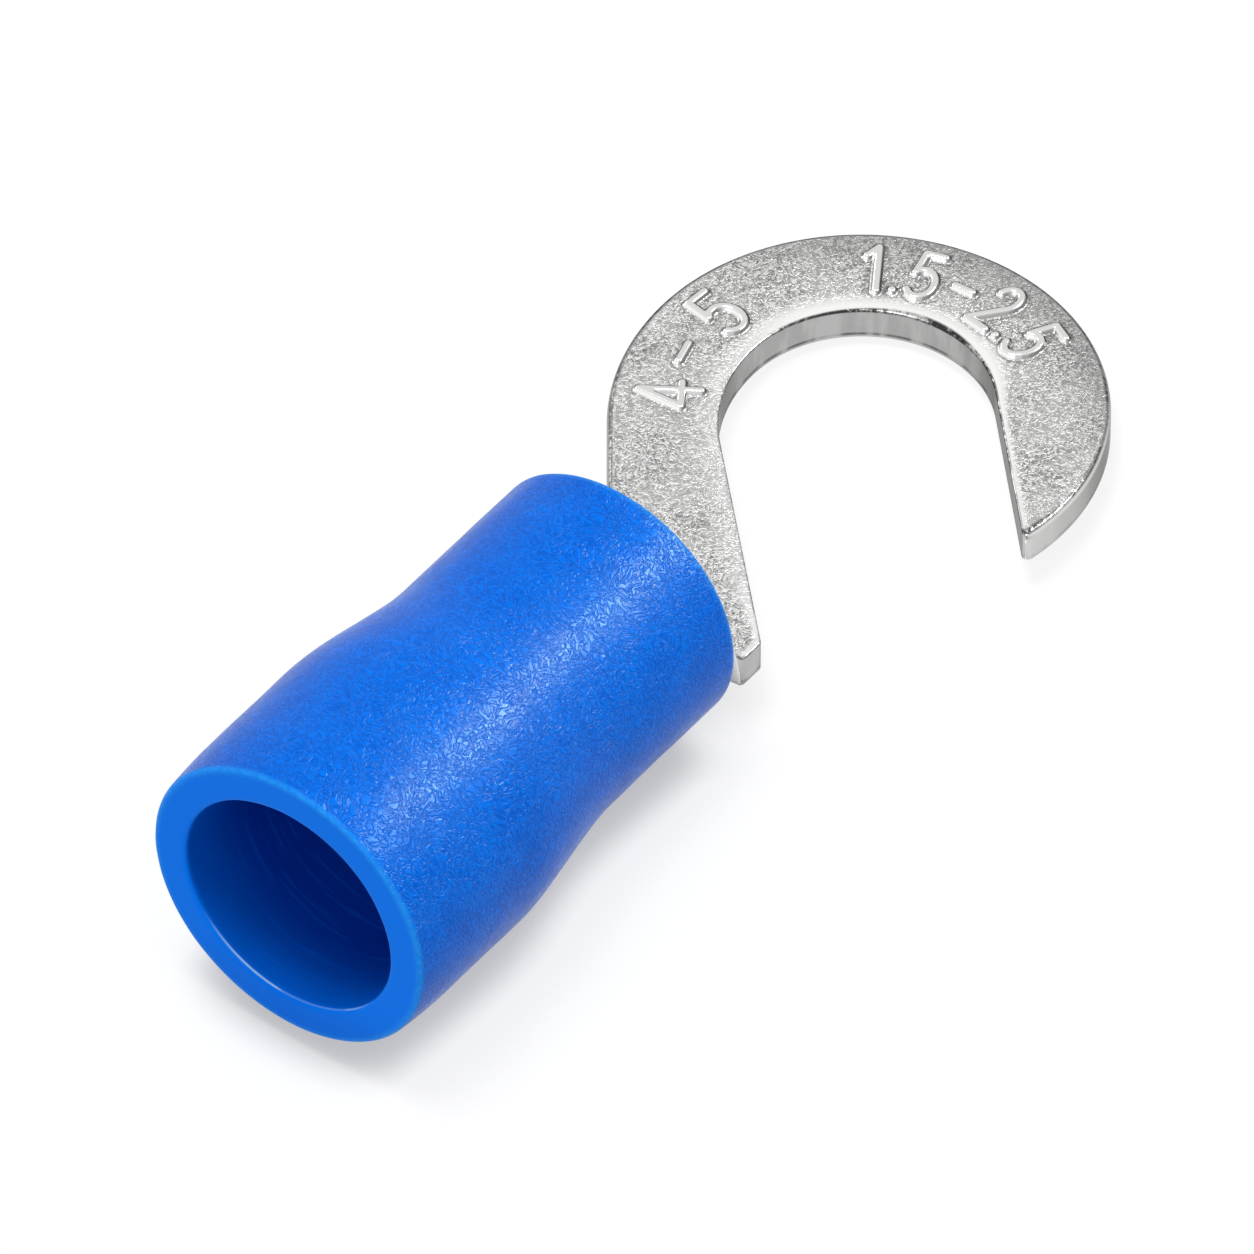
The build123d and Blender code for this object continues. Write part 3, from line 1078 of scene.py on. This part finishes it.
@dataclass
class Studio:
    """Pale floor that the part rests on, pale surroundings, soft lamps and the camera."""

    target: tuple = (0.69, -8.561, 1.9)
    azimuth: float = 36.5135
    elevation: float = 44.6233
    distance: float = 572.859
    lens: float = 861.244
    resting: tuple = (
        (-2.78162, 3.85034, 0.0), (-0.21222, -8.05411, -0.93191), (-0.0708, -8.05411, -0.93897))
    floor_radius: float = 60.0
    floor_middle: tuple = (0.0, -6.0, 0.0)
    floor_gap: float = 0.004
    floor_bounce: float = 0.78
    floor_shade: float = 0.3
    floor_glow: float = 0.83
    contact_reach: float = 0.0012  # metres
    contact_glow: tuple = (0.47, 0.8)
    ambient: float = 0.34
    overhead: SoftLamp = SoftLamp("overhead", 325.0, 80.0, 220.0, 70.0, 70.0, 10.0)
    sheens: tuple = (
        SoftLamp("sheen", 140.0, 42.0, 200.0, 84.0, 52.0, 90.0, True),
        SoftLamp("broad_sheen", 134.0, 40.0, 210.0, 220.0, 170.0, 5.5, True),
        SoftLamp("taper_sheen", 155.0, 30.0, 200.0, 60.0, 48.0, 70.0, True),
    )
    accents: tuple = (
        SoftLamp("right", 140.0, 42.0, 200.0, 90.0, 56.0, 13.0),
        SoftLamp("side", 262.0, 16.0, 220.0, 110.0, 60.0, 3.5),
        SoftLamp("front", 10.0, 22.0, 220.0, 120.0, 60.0, 6.2),
    )

    def add_floor(self) -> None:
        """Adds the floor disc, tilted to the plane that the part rests on."""
        a, b, c = (Vector(p) for p in self.resting)
        up = (b - a).cross(c - a).normalized()
        bm = bmesh.new()
        bmesh.ops.create_circle(bm, cap_ends=True, segments=96, radius=self.floor_radius * MM)
        turn = up.to_track_quat("Z", "Y").to_matrix()
        bmesh.ops.rotate(bm, verts=bm.verts, cent=(0.0, 0.0, 0.0), matrix=turn)
        centre = Vector(self.floor_middle)
        centre.z = a.z - (up.x * (centre.x - a.x) + up.y * (centre.y - a.y)) / up.z
        bmesh.ops.translate(bm, verts=bm.verts, vec=(centre - up * self.floor_gap) * MM)
        floor = meshed("floor", bm)
        floor.data.materials.append(self.floor_material())

    def floor_material(self) -> Material:
        """Pale floor that is plain white where nothing shades it."""
        made = bpy.data.materials.new("pale_floor")
        sheet = emptied(made)
        plain = sheet.add("ShaderNodeBsdfDiffuse", Color=(*[self.floor_bounce] * 3, 1.0))
        shown = sheet.add("ShaderNodeBsdfDiffuse", Color=(*[self.floor_shade] * 3, 1.0))
        contact = sheet.add("ShaderNodeAmbientOcclusion", {"samples": 8}, Distance=self.contact_reach)
        # Painted shade: the contact shadow, from ambient occlusion, is made lighter towards the hook
        # along y.
        along = sheet.add("ShaderNodeSeparateXYZ", Vector=sheet.millimetres()).outputs[1]
        darkest = sheet.ramp(along, -8.5, -5.0, *self.contact_glow)
        strength = sheet.ramp(contact.outputs["AO"], 0.45, 0.97, darkest, self.floor_glow)
        glow = sheet.add("ShaderNodeEmission", Color=(1.0, 1.0, 1.0, 1.0), Strength=strength)
        lit = sheet.add("ShaderNodeAddShader", i0=shown.outputs[0], i1=glow.outputs[0])
        mixed = sheet.add(
            "ShaderNodeMixShader", i0=sheet.seen(), i1=plain.outputs[0], i2=lit.outputs[0])
        sheet.add("ShaderNodeOutputMaterial", Surface=mixed.outputs[0])
        return made

    def add_world(self) -> None:
        """Adds the pale surroundings: white where seen, softer as light."""
        world = bpy.data.worlds.new("surroundings")
        bpy.context.scene.world = world
        sheet = emptied(world)
        strength = sheet.add(
            "ShaderNodeMix", {"data_type": "FLOAT"}, i0=sheet.seen(), i2=self.ambient, i3=1.0)
        background = sheet.add(
            "ShaderNodeBackground", Color=(1.0, 1.0, 1.0, 1.0), Strength=strength.outputs[0])
        sheet.add("ShaderNodeOutputWorld", Surface=background.outputs[0])

    def add_camera(self) -> None:
        """Adds the camera at the photograph's view."""
        data = bpy.data.cameras.new("view")
        data.sensor_width = 36.0
        data.lens = self.lens
        data.clip_start, data.clip_end = 0.001, 10.0
        camera = placed("view", data)
        aim(camera, self.target, self.azimuth, self.elevation, self.distance)
        bpy.context.scene.camera = camera

    def light_only(self, lamps: tuple, pieces: list) -> None:
        """Adds lamps that light some pieces and leave the floor alone.

        Args:
            lamps: The SoftLamps.
            pieces: The objects that they light.
        """
        lit = bpy.data.collections.new("lit_by_" + lamps[0].name)
        for piece in pieces:
            lit.objects.link(piece)
        for lamp in lamps:
            lamp.light(self.target).light_linking.receiver_collection = lit

    def build(self, body: Object, sleeve: Object) -> None:
        """Sets up the whole studio.

        Args:
            body: The metal body.
            sleeve: The sleeve, which alone shows the sheen lamps.
        """
        self.add_floor()
        self.add_world()
        self.overhead.light(self.target)
        self.light_only(self.accents, [body, sleeve])
        self.light_only(self.sheens, [sleeve])
        self.add_camera()
        bpy.context.scene.view_settings.view_transform = "Standard"


def main() -> None:
    """Builds and dresses the part and sets up the studio."""
    logging.basicConfig(level=logging.INFO, format="%(message)s")
    grain, nicks = wrinkled_grain(), nick_and_glint_spots()
    body = TerminalBody().build()
    body.data.materials.append(TinFinish(grain, nicks).material())
    sleeve = InsulatingSleeve().build()
    sleeve.data.materials.append(PvcFinish(grain, nicks).material())
    Studio().build(body, sleeve)


if __name__ == "__main__":
    main()
